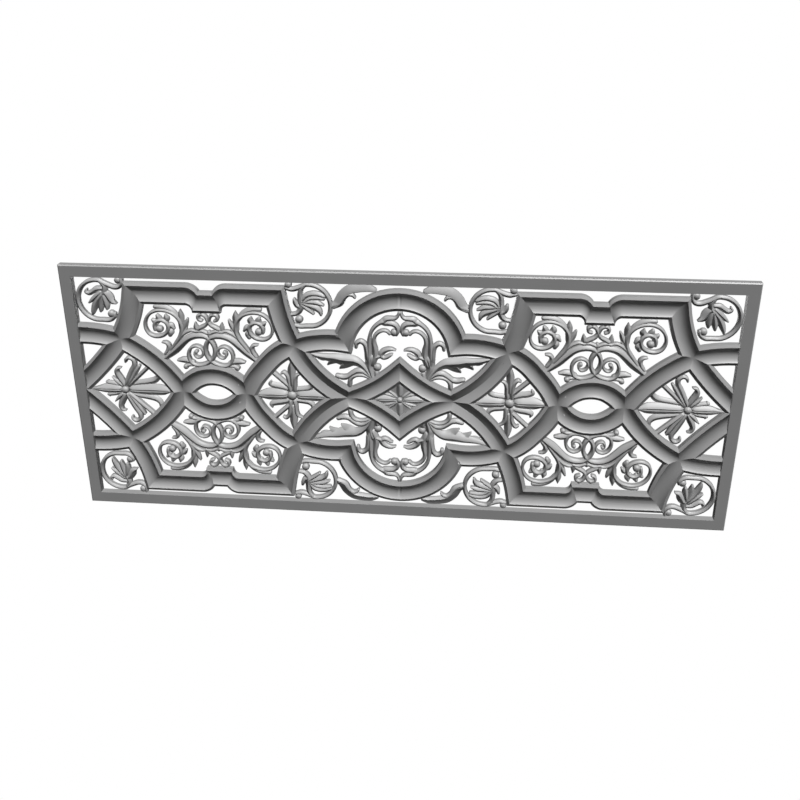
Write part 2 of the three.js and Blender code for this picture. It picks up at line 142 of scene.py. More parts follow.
def simplified(line, tolerance):
    """The points of a fine line that keep every chord within a tolerance of it."""
    chord = line[-1] - line[0]
    along = np.clip((line - line[0]) @ chord / max(chord @ chord, tolerance ** 2), 0, 1)
    gaps = np.linalg.norm(line - line[0] - along[:, None] * chord, axis=1)
    split = int(gaps.argmax())
    if gaps[split] <= tolerance:
        return line[[0, -1]]
    head = simplified(line[:split + 1], tolerance)
    return np.vstack([head, simplified(line[split:], tolerance)[1:]])


def smooth_line(points):
    """Centripetal Catmull-Rom curve through points with any number of values each."""
    points = np.array(points, float)
    padded = np.vstack([2 * points[0] - points[1], points, 2 * points[-1] - points[-2]])
    curve = []
    for a, b, c, d in zip(padded, padded[1:], padded[2:], padded[3:]):
        knots = np.cumsum([0] + [math.sqrt(np.linalg.norm(q - p)) for p, q in ((a, b), (b, c), (c, d))])
        t = np.linspace(knots[1], knots[2], SPAN_STEPS, endpoint=False)[:, None]

        def blend(p, q, i, j):
            return ((knots[j] - t) * p + (t - knots[i]) * q) / (knots[j] - knots[i])

        first, middle, last = blend(a, b, 0, 1), blend(b, c, 1, 2), blend(c, d, 2, 3)
        curve.append(blend(blend(first, middle, 0, 2), blend(middle, last, 1, 3), 1, 2))
    return np.vstack(curve + [points[-1:]])


def arc_steps(turn, radius, tolerance):
    """Number of chords that keep to a tolerance on an arc."""
    return max(2, math.ceil(abs(turn) / (2 * math.acos(1 - tolerance / abs(radius)))))


def bow(start, end, rise):
    """Arc between two grid points that rises to the left of the way between them."""
    a, b = on_grid([start, end])
    half = (b - a) / 2
    reach = np.linalg.norm(half)
    height = rise * COLUMN_PITCH
    radius = (reach ** 2 + height ** 2) / (2 * height)
    centre = a + half + np.array([-half[1], half[0]]) / reach * (height - radius)
    turn = 2 * math.asin(reach / radius)
    angles = np.linspace(0, -turn, arc_steps(turn, radius, STRAP_TOLERANCE) + 1)
    spoke = a - centre
    cos, sin = np.cos(angles), np.sin(angles)
    return centre + np.stack([cos * spoke[0] - sin * spoke[1], sin * spoke[0] + cos * spoke[1]], axis=1)


def spline(points):
    """Smooth line in millimetres through grid points."""
    return simplified(smooth_line(on_grid(points)), STRAP_TOLERANCE)


def arch_line():
    """Arch from the panel's middle out to its corner."""
    centre, corner = on_grid([ARCH_CENTRE, ARCH_CORNER])
    radius = ARCH_RADIUS * COLUMN_PITCH
    end = math.atan2(corner[1] - centre[1], corner[0] - centre[0])
    steps = arc_steps(math.pi / 2 - end, radius, STRAP_TOLERANCE)
    angles = np.linspace(math.pi / 2, end, steps + 1)
    line = centre + radius * np.stack([np.cos(angles), np.sin(angles)], axis=1)
    line[-1] = corner
    return line


def side_steps(line):
    """Unit steps to the left of a line, lengthened at corners so that both sides keep their distance."""
    ways = np.diff(line, axis=0)
    ways /= np.linalg.norm(ways, axis=1)[:, None]
    normals = np.stack([-ways[:, 1], ways[:, 0]], axis=1)
    before = np.vstack([normals[:1], normals])
    after = np.vstack([normals, normals[-1:]])
    return (before + after) / (1 + (before * after).sum(axis=1))[:, None]


def skin(rings):
    """Vertices and outward faces of the solid over a row of rings with the same number of points."""
    rings = np.array(rings)
    count, size = rings.shape[:2]
    faces = []
    for r in range(count - 1):
        for i in range(size):
            a, b = r * size + i, r * size + (i + 1) % size
            faces.append([a, b, b + size, a + size])
    faces.append(list(range(size))[::-1])
    faces.append(list(range((count - 1) * size, count * size)))
    vertices = rings.reshape(-1, 3)
    volume = sum(
        vertices[face[0]] @ np.cross(vertices[face[i]], vertices[face[i + 1]])
        for face in faces for i in range(1, len(face) - 1))
    if volume < 0:
        faces = [face[::-1] for face in faces]
    return vertices, faces


def make_object(name, vertices, faces):
    mesh = bpy.data.meshes.new(name)
    mesh.from_pydata(vertices, [], faces)
    mesh.update()
    piece = bpy.data.objects.new(name, mesh)
    bpy.context.scene.collection.objects.link(piece)
    return piece


def solid(rings, kind=CARVING):
    """Closed solid over rings; its faces remember whether they belong to a strap or to the carving."""
    vertices, faces = skin(rings)
    piece = make_object("carving", vertices * MM, faces)
    for material in face_kinds:
        piece.data.materials.append(material)
    for face in piece.data.polygons:
        face.material_index = kind
    return piece


def combined(base, other, operation):
    """Joins, cuts or intersects two closed solids and keeps the first."""
    modifier = base.modifiers.new("shape", "BOOLEAN")
    modifier.solver = "MANIFOLD"
    modifier.operation = operation
    modifier.object = other
    shaped = base.evaluated_get(bpy.context.evaluated_depsgraph_get())
    mesh = bpy.data.meshes.new_from_object(shaped)
    base.modifiers.clear()
    old_meshes = [base.data, other.data]
    base.data = mesh
    bpy.data.objects.remove(other)
    for old in old_meshes:
        bpy.data.meshes.remove(old)
    return base


def united(pieces):
    """Joins solids two by two, so that small ones meet small ones."""
    while len(pieces) > 1:
        pairs = [combined(a, b, "UNION") for a, b in zip(pieces[::2], pieces[1::2])]
        pieces = pairs + pieces[2 * len(pairs):]
    return pieces[0]


def ring_at(flat, side, section):
    """Ring of a section, as (across, height) pairs, at a flat point with a sideways step."""
    section = np.array(section)
    across = flat + section[:, :1] * side
    return np.stack([across[:, 0], -section[:, 1], across[:, 1]], axis=1)


def hollow_line(half, vee):
    """Hollow from ridge to ridge: a cove, a plain vee or between the two."""
    radius = (half ** 2 + HOLLOW_DEPTH ** 2) / (2 * HOLLOW_DEPTH)
    reach = math.asin(half / radius)
    angles = np.linspace(-reach, reach, HOLLOW_FACETS + 1)
    across = radius * np.sin(angles)
    cove = radius * (1 - np.cos(angles))
    slope = HOLLOW_DEPTH * np.abs(across) / half
    heights = RIDGE_HEIGHT - HOLLOW_DEPTH + cove * (1 - vee) + slope * vee
    return list(zip(across, heights))


def strap_section(half, vee):
    foot = half + STRAP_BEVEL_WIDTH
    shoulder = RIDGE_HEIGHT - STRAP_BEVEL_DROP
    left = [(-foot, -OVERRUN), (-foot, shoulder)]
    right = [(foot, shoulder), (foot, -OVERRUN)]
    return left + hollow_line(half, vee) + right


def strap_clearance(half, vee):
    """Space over the hollow, which clears the other straps where they cross."""
    return [(-half, PANEL_THICKNESS)] + hollow_line(half, vee) + [(half, PANEL_THICKNESS)]


def strap_stretch(line, half=STRAP_HALF_WIDTH, vee_start=0, vee_end=0):
    """Points of one stretch of a strap: place, half-width, share of the vee, and no lean of its own."""
    shares = np.linspace(0, 1, len(line))
    vees = vee_start + (vee_end - vee_start) * shares
    return [(at, half, vee, None) for at, vee in zip(line, vees)]


def top_notch():
    """Ogee notch in the middle of the top strap, with the lean of the moulding at each point."""
    radius = 15.3
    drop = 11.4
    half_flat = 15.6
    lean = 0.34
    turn = math.acos(1 - drop / radius)
    steps = arc_steps(turn, radius, NOTCH_TOLERANCE)
    start = NOTCH_AXIS - half_flat - radius * math.sin(turn)
    points = []
    for i in range(steps + 1):
        angle = turn * i / steps
        row = TOP_INNER_CORNER[1] - radius * (1 - math.cos(angle))
        at = on_grid([start + radius * math.sin(angle), row])[0]
        points.append((at, TOP_STRAP_HALF_WIDTH, 0, np.array([lean * i / steps, 1])))
    axis = NOTCH_AXIS * COLUMN_PITCH
    return points + [mirrored_point(point, axis) for point in reversed(points)]


def mirrored_point(point, axis=0):
    """Point of a strap mirrored in an upright axis."""
    at, half, vee, side = point
    side = side if side is None else side * [-1, 1]
    return np.array([2 * axis - at[0], at[1]]), half, vee, side


def strap_paths():
    """The two straps of the right half, from a little left of the middle to the frame."""
    inward = [INNER_CROSSING, [170.3, 75.3], [186, 64.5], [202, 47.8], [218.9, 27], OVAL_INNER_CROSSING]
    oval = [OVAL_INNER_CROSSING, [242, -11], [253, -20.5], [267, -27.2], [282.8, -29.6], [298.6, -27.4],
            [312.5, -20.5], [323.7, -11], OVAL_OUTER_CROSSING]
    arch_strap = [
        strap_stretch(arch_line()),
        strap_stretch(bow(ARCH_CORNER, INNER_CROSSING, rise=5)),
        strap_stretch(spline(inward)),
        strap_stretch(spline(oval)),
        strap_stretch(bow(OVAL_OUTER_CROSSING, OUTER_CROSSING, rise=9.2)),
        strap_stretch(bow(OUTER_CROSSING, ARCH_STRAP_END, rise=3.6)),
    ]
    notch = top_notch()
    top_strap = [
        strap_stretch(bow(LOWER_CUSP, DIAMOND_CROSSING, rise=4.9), CUSP_STRAP_HALF_WIDTH),
        strap_stretch(bow(DIAMOND_CROSSING, INNER_CROSSING, rise=-9.5), DIAGONAL_STRAP_HALF_WIDTH, 1, 0),
        strap_stretch(bow(INNER_CROSSING, TOP_INNER_CORNER, rise=-3), TOP_STRAP_HALF_WIDTH) + notch,
        notch[-1:] + strap_stretch(bow(TOP_OUTER_CORNER, OUTER_CROSSING, rise=-4), TOP_STRAP_HALF_WIDTH),
        strap_stretch(bow(OUTER_CROSSING, TOP_STRAP_END, rise=-3.4)),
    ]
    return [with_left_start(joined_stretches(stretches)) for stretches in (arch_strap, top_strap)]


def joined_stretches(stretches):
    """One path from stretches that share their end points."""
    path = list(stretches[0])
    for stretch in stretches[1:]:
        path += stretch[1:]
    return path


def with_left_start(path):
    """A path that starts a little left of the middle, by the mirror of its first points."""
    return [mirrored_point(point) for point in reversed(path[1:3])] + path


def strap_solids(path, flip):
    """Body of a strap and the space over its hollow; a flip of -1 mirrors both in the long axis."""
    line = np.array([point[0] for point in path])
    sides = side_steps(line)
    rings = {"body": [], "space": []}
    for (at, half, vee, lean), side in zip(path, sides):
        side = side if lean is None else lean
        for name, section in (("body", strap_section), ("space", strap_clearance)):
            rings[name].append(ring_at(at, side, section(half, vee)) * [1, 1, flip])
    return solid(rings["body"], STRAP), solid(rings["space"], STRAP)


def crease_space():
    """Shallow crease across the arch's hollow in the panel's middle."""
    half_width = 3.2
    depth = 0.9
    centre = arch_line()[0]
    rings = []
    for way in (-1, 0, 1):
        drop = depth * (1 - abs(way))
        section = strap_clearance(STRAP_HALF_WIDTH, 0)
        section = [(x, h - drop * (1 - (x / STRAP_HALF_WIDTH) ** 2)) for x, h in section]
        rings.append(ring_at(centre + [way * half_width, 0], np.array([0, 1]), section))
    return solid(rings, STRAP)


def turn_of(centre, start, end, start_radius, end_radius, start_half, end_half):
    """Turn of a scroll as grid points with half-widths; its angles are in degrees."""
    degrees_per_point = 30
    steps = math.ceil(abs(end - start) / degrees_per_point)
    points = []
    for i in range(steps + 1):
        share = i / steps
        angle = math.radians(start + (end - start) * share)
        radius = start_radius + (end_radius - start_radius) * share
        half = start_half + (end_half - start_half) * share
        points.append([centre[0] + radius * math.cos(angle), centre[1] + radius * math.sin(angle), half])
    return points


def rounded_ends(line):
    """A line of (across, up, half-width) with a round end at both ends, and how far round each point is."""
    turns = np.radians(END_TURN_DEGREES)
    caps = []
    for end, inner in ((line[0], line[1]), (line[-1], line[-2])):
        way = end[:2] - inner[:2]
        way /= np.linalg.norm(way)
        caps.append([[*(end[:2] + way * end[2] * math.sin(a)), end[2] * math.cos(a)] for a in turns])
    rounds = np.concatenate([np.sin(turns), np.zeros(len(line)), np.sin(turns)[::-1]])
    first, last = line[0, 2], line[-1, 2]
    halves = np.concatenate([[first] * len(turns), line[:, 2], [last] * len(turns)])
    return np.vstack([caps[0], line, caps[1][::-1]]), rounds, halves


def stem(points, crown_height=CROWN_HEIGHT, groove_depth=0, lean=0):
    """Stem, leaf lobe or petal with a rounded back along grid points that carry its half-width.

    The lean shifts the crest of the back, as a share of the half-width to the left of the way along.
    """
    points = np.array(points, float) * [COLUMN_PITCH, ROW_PITCH, COLUMN_PITCH]
    line, rounds, full_halves = rounded_ends(simplified(smooth_line(points), CARVING_TOLERANCE))
    sides = side_steps(line[:, :2])
    across = np.linspace(-1, 1, STEM_FACETS + 1)
    from_crest = np.where(across < lean, (lean - across) / (1 + lean), (across - lean) / (1 - lean))
    rings = []
    for (x, z, half), side, end_share, full_half in zip(line, sides, rounds, full_halves):
        crown = crown_height - TIP_DROP * max(0, 1 - full_half / FULL_CROWN_HALF_WIDTH)
        out = np.hypot(end_share, from_crest * math.sqrt(1 - end_share ** 2))
        groove = min(groove_depth, full_half * GROOVE_SHARE) * np.exp(-(across * half / GROOVE_WIDTH) ** 2)
        heights = crown - full_half * BACK_RISE * out ** BACK_POWER - groove
        section = [(-half, -OVERRUN), *zip(across * half, heights), (half, -OVERRUN)]
        rings.append(ring_at(np.array([x, z]), side, section))
    return solid(rings)


def eye(column, row, radius, height=EYE_HEIGHT):
    """Round eye of a scroll or flower: a ball on an upright side."""
    centre = on_grid([column, row])[0]
    radius *= COLUMN_PITCH
    angles = np.linspace(0, 2 * math.pi, EYE_SIDES, endpoint=False)
    spokes = np.stack([np.cos(angles), np.sin(angles)], axis=1)
    levels = [(1, -OVERRUN)]
    for turn in np.linspace(0, math.pi / 2, EYE_LEVELS, endpoint=False):
        levels.append((math.cos(turn), height - radius * EYE_RISE * (1 - math.sin(turn))))
    rings = []
    for share, level in levels:
        flat = centre + spokes * radius * share
        rings.append(np.stack([flat[:, 0], np.full(EYE_SIDES, -level), flat[:, 1]], axis=1))
    return solid(rings)


# Motifs of the upper right quarter: a stem, leaf, arm or petal is a row of grid points with half-widths,
# a leaning one has its lean and its crown's height before them, and an eye is a grid point with a radius

# Leaf that fills the space between the arch and the frame
SPANDREL_LEAF = {
    "stems": [
        [[65, 158, 1.8], [68, 161.4, 2.6], [74, 162.4, 3], [80, 158, 3.4], [86, 149.4, 4.8],
            [97, 144, 4.6]],
    ],
    "leaning": [
        [-0.65, CROWN_HEIGHT, [[36.5, 170, 3.4], [46, 172.4, 5.8], [60, 171.8, 6.6], [73, 169, 7],
            [84, 160, 7], [92, 148, 6], [98, 144.5, 4.4]]],
    ],
}

# Ring scroll with a palmette inside
RING_SCROLL = {
    "stems": [
        [[154, 113, 3], [147, 111.2, 3.1], *turn_of([133, 144.4], 280, 85, 33.2, 31, 3.3, 3.2),
            [141, 172.8, 3.4], [149, 169.6, 3.6], [157, 167.8, 3.4], [164, 169.4, 3]],
        [[138, 174, 2.8], [142.6, 169, 3.4], [144.8, 161, 4], [144.4, 151, 5]],
        [[141, 151.4, 3], [136.6, 158, 4.2], [127.6, 161.4, 4.4], [117.6, 161, 4], [110.2, 158.4, 3.2]],
        [[140, 149, 3], [131, 154.6, 3.4], [120, 155.8, 3.2], [110.8, 154.8, 2.6]],
        [[144, 150, 4.6], [132, 149, 4.3], [121, 148.2, 4.2], [111.4, 144.8, 1.5]],
        [[144, 148, 5.4], [132, 143.6, 5.6], [122.6, 140.4, 5], [117, 136, 3.9], [115, 130.2, 1.8]],
        [[144, 145.5, 3.6], [137, 139.8, 2.9], [131.4, 136, 2.7], [126.4, 131.8, 1.9]],
        [[144.6, 152, 5], [144.4, 141, 4.6], [147.6, 134.2, 4.1], [152, 130.8, 3.2], [159, 129.8, 2.8]],
        [[145, 141, 3.6], [149.4, 143.4, 4.2], [152.6, 148.4, 3.7], [153.8, 152.6, 2.2]],
    ],
    "eyes": [[148, 121.8, 5.9], [161.8, 174.4, 5.2]],
}

# Forked stem with a curling leaf head, a hook, a comma leaf and a round bud, under the arch
FORKED_STEM = {
    "stems": [
        [[40, 30, 3], [43, 42, 4.6], [45.4, 52, 6.6], [43.4, 61, 8.4], [42, 66, 7.4]],
        [[41, 56, 5], [36.8, 68, 5.2], [37, 80, 4.6], [38.6, 90, 3.4], [36.8, 99.6, 2.8],
            [31.8, 105.8, 2.6], [25, 109, 2.4], [18.6, 108, 2.3], [15, 104.4, 2.2]],
        [[46, 58, 5.6], [45.8, 72, 4.9], [45.2, 86, 4.1], [44.6, 97, 3], [41.8, 107, 2.8],
            [36.2, 115, 2.9], [29.4, 120.4, 3.2], [24, 122.8, 5]],
        [[23.4, 121.8, 5.6], [20.4, 126, 4.8], [14, 127.6, 3.8], [7, 128.4, 2.8], [3, 131.8, 2.2],
            [1.2, 137.4, 2.2]],
        [[22, 120.6, 4.8], [16, 120.4, 4.4], [10, 119.4, 4], [4.8, 115.6, 3.8], [3, 109, 3.2],
            [5, 103.4, 2.4]],
        [[47.5, 64, 4.8], [49, 78, 4.1], [51.8, 87, 3.7], [57.6, 91, 3.6], [63.6, 88, 3.3],
            [64.6, 82, 2.5]],
        [[6.6, 79, 1.2], [12, 80.4, 2.6], [19.6, 79.2, 3.8], [26.2, 74.6, 4.5], [27.8, 69.8, 4],
            [24, 66.6, 3.2], [18.6, 68, 3], [14, 71, 2.4], [11.6, 72, 1.4]],
        [[29, 69, 3], [36, 66, 3]],
        [[36, 34, 3], [34.6, 43, 3.8]],
    ],
    "eyes": [[8.6, 106, 5.4], [33.6, 50.4, 6]],
}

# Acanthus leaf that runs from the foot of the stem to the diagonal strap
ACANTHUS_LEAF = {
    "leaning": [
        [0.2, CROWN_HEIGHT, [[43, 33, 2.6], [50, 45.6, 3.8], [58, 54, 5.4], [67, 58.4, 7.8], [77, 59, 10],
            [87, 60, 9.4], [97, 62.4, 7.2], [107, 63.4, 5.8], [116, 64.6, 4.8], [124, 66.6, 3.6],
            [131, 69, 2]]],
        [0.8, LOBE_HEIGHT, [[74, 55, 6], [81, 52, 6], [86, 49, 4], [89.6, 46.6, 1.4]]],
        [0.8, LOBE_HEIGHT, [[92, 59, 5], [99, 57.6, 4.6], [104.4, 55, 3.2], [107.8, 52, 1.4]]],
        [0.8, LOBE_HEIGHT, [[108, 62.4, 4], [115, 61, 3.4], [121, 61.4, 1.6]]],
    ],
}

# Pair of small leaves below the acanthus
LEAF_PAIR = {
    "stems": [
        [[44.6, 35.6, 3], [54.6, 43, 4.5], [63.6, 43.4, 4.4], [71, 39.4, 4], [77.6, 34.4, 4],
            [85, 32.8, 4.4], [94, 35, 3.2]],
        [[44, 33, 2.4], [54, 37, 2.5], [62.6, 37.4, 2.6], [70.4, 34.2, 2.9], [74.6, 28.4, 3.4],
            [75.4, 21, 3.8]],
    ],
}

# Flower between the diagonal straps: two petals, two leaves, two hooks, a bud and a tie bar
SIDE_FLOWER = {
    "stems": [
        [[160, 9, 3.4], [158.8, 16, 3.5], [158.4, 26, 3.4], [155.4, 33, 2.6], [149.4, 36.2, 1.3]],
        [[166.4, 9, 3.4], [167.2, 16, 3.5], [167.8, 26, 3.4], [170.4, 33.8, 3], [174.6, 37.6, 2.6],
            [178.2, 36, 1.7]],
        [[163, 18, 3], [163, 31, 4.6], [163.2, 41, 6.2], [163, 49, 4.2], [162.2, 58, 1]],
        [[168, 15.5, 3.4], [196, 41.5, 3.4]],
    ],
    "leaning": [
        [0, LOBE_HEIGHT, [[160, 8.6, 4.6], [148, 9.8, 4.8], [139, 11.4, 4.6], [133.6, 15.4, 4],
            [133, 21, 1.8]]],
        [0, LOBE_HEIGHT, [[166, 8.6, 4.6], [180, 12.4, 5.6], [190, 14, 5.6], [196.6, 17, 3.8],
            [195.4, 21.6, 1.4]]],
    ],
    "petals": [
        [[150.6, 0, 7.6], [140, 0, 9], [125, 0, 9.4], [116, 0, 6], [107, 0, 1]],
        [[176.4, 0, 7.6], [185, 0, 9], [200, 0, 9.6], [209, 0, 6.4], [219, 0, 1]],
    ],
    "flower_eyes": [[163.5, 0, 7.4]],
}

# Flower at the end of the panel: two petals, two leaves, four stems and a tie bar
END_FLOWER = {
    "stems": [
        [[416, 7.4, 3.2], [379, 42.5, 3.2]],
        [[417.2, 7.6, 2.8], [408.6, 21.6, 3.3], [401.8, 32.4, 3.1], [397.4, 39.6, 2.4]],
        [[420.6, 8, 3.4], [416.4, 18, 4.4], [409.6, 31.6, 4.5], [404.6, 41.4, 3.6], [405.2, 48.8, 3.2],
            [411.2, 52.6, 3], [416.6, 49.8, 2.5], [417.6, 45.8, 1.7]],
        [[424.4, 8, 3.2], [427.4, 14, 4.8], [432, 22.6, 4.8], [433.8, 29.4, 3.6], [431.4, 34.4, 2.6],
            [426.8, 35.6, 1.2]],
        [[427.4, 7.4, 2.8], [433, 12, 3.4], [441.4, 20.4, 0.9]],
    ],
    "leaning": [
        [0, LOBE_HEIGHT, [[414, 8, 4], [400, 10.8, 4.7], [387, 12.8, 5.2], [376.6, 15.8, 5.3],
            [370.6, 22, 3.9], [371.4, 28.6, 1.6]]],
        [0, LOBE_HEIGHT, [[429, 5, 3.2], [440, 8.4, 3.6], [448, 9.6, 3.5], [451.6, 10.4, 2.6]]],
        [0, LOBE_HEIGHT, [[450.2, 10.4, 2.4], [450, 12.6, 1.6]]],
    ],
    "petals": [
        [[411.8, 0, 6.4], [396, 0, 8.8], [376, 0, 9.4], [363, 0, 8], [356, 0, 4.6], [349, 0, 1]],
        [[433.2, 0, 5.8], [446, 0, 7.6], [457, 0, 6.6], [465, 0, 3.8], [474, 0, 1]],
    ],
    "flower_eyes": [[422.8, 0, 6]],
}

# Corner scroll with a leaf of six lobes
CORNER_SCROLL = {
    "stems": [
        [[409.6, 178, 2.4], [409.4, 170, 2.8], [413.6, 164.6, 3.3], [421, 163.4, 3.7], [429, 166, 3.7],
            [437.6, 170, 3.5], *turn_of([447.6, 142.6], 96, -100, 31.2, 31, 3.3, 3.2), [435, 112, 3.3],
            [429.4, 114.4, 3.2], [425.6, 118.4, 2.9], [424.8, 122.6, 2.4]],
        [[440, 171, 3.4], [436.6, 165, 4.1], [437, 157.4, 4.7], [441, 149.6, 5.2]],
        [[440.6, 161, 3], [448.6, 160, 4.2], [454.8, 156, 4], [460.4, 153.4, 3.5], [464.8, 155.6, 2.3],
            [463.8, 158.8, 1.5]],
        [[443, 155, 3.4], [450.4, 148.8, 4], [457, 143, 3.2], [461.8, 138.8, 1.4]],
        [[442, 152, 4.4], [449, 143, 5.2], [454.4, 133.4, 5], [457.4, 125.4, 3.4], [458.6, 120.6, 1.6]],
        [[440.5, 151, 4.6], [443.4, 140, 4.9], [445, 132, 4.2], [445.6, 126, 2]],
        [[439.6, 151, 5], [437, 141, 5.2], [435.9, 134, 4.2], [435.6, 129.8, 2]],
        [[437, 155, 4.4], [433.6, 151.6, 6.4], [430.6, 146.4, 6.9], [427, 141.4, 4.6],
            [421.2, 138.4, 1.3]],
    ],
    "eyes": [[414.4, 174.2, 5.4], [430.2, 121.8, 5.7]],
}

# Left half of the carving in the trapezoid, measured from the trapezoid's axis, minus to the left
TRAPEZOID_HALF = {
    "arms": [
        [[-74, 52, 3.6], [-66.7, 57.9, 4.8], [-60, 63.6, 6.4], [-53.7, 68.6, 6.9], [-46.8, 74.8, 6.5],
            [-40.2, 80.9, 5.8], [-32.4, 87, 5.2], [-23.2, 90.9, 4.9], [-13.2, 92, 4.4], [-4, 89.8, 3.8],
            [2.8, 83.4, 3.3], [6.6, 75.4, 3.2], [7.2, 67, 3.2], [4.6, 58.5, 3.2], [-2, 50.8, 3.2],
            [-11.5, 46, 3.1], [-21.5, 44.8, 3], [-29.6, 48.4, 2.8], [-33.4, 56, 2.6], [-33.4, 64.6, 2.4],
            [-29.4, 72, 2.3], [-21.4, 75.6, 2.2], [-13.4, 72.4, 2.1], [-10.6, 65.4, 2.1], [-14, 59, 2],
            [-20, 57.2, 1.9], [-24, 61.4, 1.8], [-23.6, 66, 1.8]],
    ],
    "stems": [
        [[-59.2, 68, 3], [-51.4, 79, 3.2], [-44.9, 88.4, 3.4], [-41.2, 98.4, 3.3], [-41.2, 108.4, 3.1],
            [-45, 118, 2.9], [-52.6, 125.2, 2.7], [-62.5, 129.2, 2.6], [-73.5, 129.8, 2.6],
            [-84, 126.4, 2.5], [-91.6, 119.4, 2.4], [-95.8, 110, 2.3], [-95.6, 100.6, 2.3],
            [-91.6, 93.2, 2.5], [-84.6, 89.2, 2.9], [-76.6, 88.9, 3.1], [-69, 91.4, 3.1], [-63, 97, 3.1],
            [-61, 104.4, 3], [-64.2, 111.4, 2.9],
            [-71.4, 114.4, 2.8], [-78.4, 112.2, 2.8], [-81.8, 106.4, 2.8], [-81.4, 99.6, 2.6]],
        [[-43.6, 89, 1.6], [-35, 96.4, 2.6], [-27, 99.8, 2.5], [-19.6, 98.6, 1.6]],
        [[-69, 61, 3], [-64.4, 68, 3.4], [-63.2, 74.6, 3.4], [-66.6, 79, 2.6], [-72, 79.8, 1.6]],
        [[-28, 48.6, 3.4], [-36.4, 51.2, 5], [-44, 52, 4.4], [-50.6, 51.6, 2]],
        [[-27, 44.6, 2.2], [-34, 44.6, 2.6], [-38.6, 42.6, 3.4]],
        [[-9.8, 115.6, 2.2], [-13.8, 117.4, 2.4], [-14.4, 122.6, 2.6], [-9.4, 125.4, 2.7],
            [-3.6, 122.4, 2.7], [-0.6, 115.6, 2.6], [3.8, 109, 2.8], [10.6, 105, 3.3], [15.4, 102, 3.6]],
        [[-20.6, 98, 2.2], [-11, 99.4, 2.4], [0, 95.8, 2.6], [11, 99.4, 2.4]],
        [[0, 98, 2.6], [0, 88, 2.6]],
        [[-9, 126, 2.4], [-9, 134, 2.4]],
    ],
    "leaves": [
        [[-79, 108, 3], [-82.4, 112.4, 4], [-84.8, 114.4, 2]],
        [[-76, 112, 3.4], [-75, 117, 5], [-76.4, 120.8, 2.8]],
        [[-66, 112, 3.6], [-63.4, 117, 5.2], [-64.4, 122.4, 1.4]],
        [[-62, 107, 3.2], [-57, 106, 4.4], [-53.2, 101.4, 2]],
        [[-62, 98, 3.4], [-59, 95.4, 5.4], [-60, 91, 3.2]],
        [[-44.4, 117, 3.4], [-51.6, 126.6, 4.4], [-61, 132.6, 4.8], [-71, 134.6, 4.6],
            [-78.6, 134.8, 3.2]],
        [[-42, 102, 3.4], [-41.6, 113, 4.9], [-41.4, 122, 5], [-41.4, 131, 0.9]],
        [[-41.4, 95, 3], [-37, 103.6, 4], [-33.8, 111, 3.6], [-31.2, 117.2, 1.6]],
        [[-43, 89, 2.4], [-38.6, 95, 3], [-35.4, 99.4, 2.4], [-33.6, 103, 1]],
        [[-17, 95.6, 3.4], [-19, 103, 4.6], [-20, 111.6, 1.2]],
    ],
    "eyes": [[-75, 100, 5.6], [-21.4, 66.4, 2.9], [-39.4, 41.6, 4]],
}

# Rosette of the central diamond: petals on the axes and leaves between them over a sunk ground
ROSETTE = {
    "stems": [
        [[5, 4.4, 2], [9, 8, 2.6], [15.6, 13.4, 1.6]],
        [[6, 3.4, 2], [13, 7, 2.4], [23, 9, 1.4]],
        [[0, 7.4, 4], [0, 9.4, 4.8], [0, 16, 5.8], [0, 23, 4.4], [0, 31, 0.9]],
    ],
    "petals": [
        [[7.8, 0, 4.2], [12, 0, 5.2], [22, 0, 6.4], [31, 0, 4.4], [41, 0, 1]],
    ],
    "flower_eyes": [[0, 0, 4.4]],
}
MOTIFS = [SPANDREL_LEAF, RING_SCROLL, FORKED_STEM, ACANTHUS_LEAF, LEAF_PAIR, SIDE_FLOWER, END_FLOWER,
          CORNER_SCROLL, ROSETTE]


def motif_solids(motif):
    solids = [stem(points) for points in motif.get("stems", [])]
    solids += [stem(points, height, lean=lean) for lean, height, points in motif.get("leaning", [])]
    solids += [stem(points, ARM_HEIGHT, GROOVE_DEPTH) for points in motif.get("petals", [])]
    solids += [eye(*spec) for spec in motif.get("eyes", [])]
    return solids + [eye(*spec, FLOWER_EYE_HEIGHT) for spec in motif.get("flower_eyes", [])]


def trapezoid_solids():
    """The trapezoid's carving, symmetrical about the trapezoid's own axis."""
    solids = []
    for side in (1, -1):
        def shifted(points):
            return [[TRAPEZOID_AXIS + column * side, *rest] for column, *rest in points]
        solids += [stem(shifted(points), ARM_HEIGHT) for points in TRAPEZOID_HALF["arms"]]
        solids += [stem(shifted(points)) for points in TRAPEZOID_HALF["stems"]]
        solids += [stem(shifted(points), LEAF_HEIGHT) for points in TRAPEZOID_HALF["leaves"]]
        solids += [eye(*spec) for spec in shifted(TRAPEZOID_HALF["eyes"])]
    return solids


def diamond_ground():
    """Sunk ground that closes the diamond behind the rosette and runs under its straps."""
    reach = on_grid([DIAMOND_CROSSING[0], -LOWER_CUSP[1]])[0]
    share = 1 - GROUND_OVERLAP / np.linalg.norm(reach)
    between = 0.42
    corners = []
    for side in (1, -1):
        bay = between * side
        corners += [(side, 0), (bay, bay), (0, side), (-bay, bay)]
    flat = np.array(corners) * reach * share
    rings = []
    for height in (-OVERRUN, GROUND_HEIGHT):
        rings.append(np.stack([flat[:, 0], np.full(len(flat), -height), flat[:, 1]], axis=1))
    return solid(rings)


def quarter_block():
    """The upper right quarter of the frame's opening, from the panel's back to beyond its face."""
    corners = [(0, 0), (openwork_high.x, 0), (openwork_high.x, openwork_high.z), (0, openwork_high.z)]
    return solid([[(x, -height, z) for x, z in corners] for height in (0, 2 * PANEL_THICKNESS)])


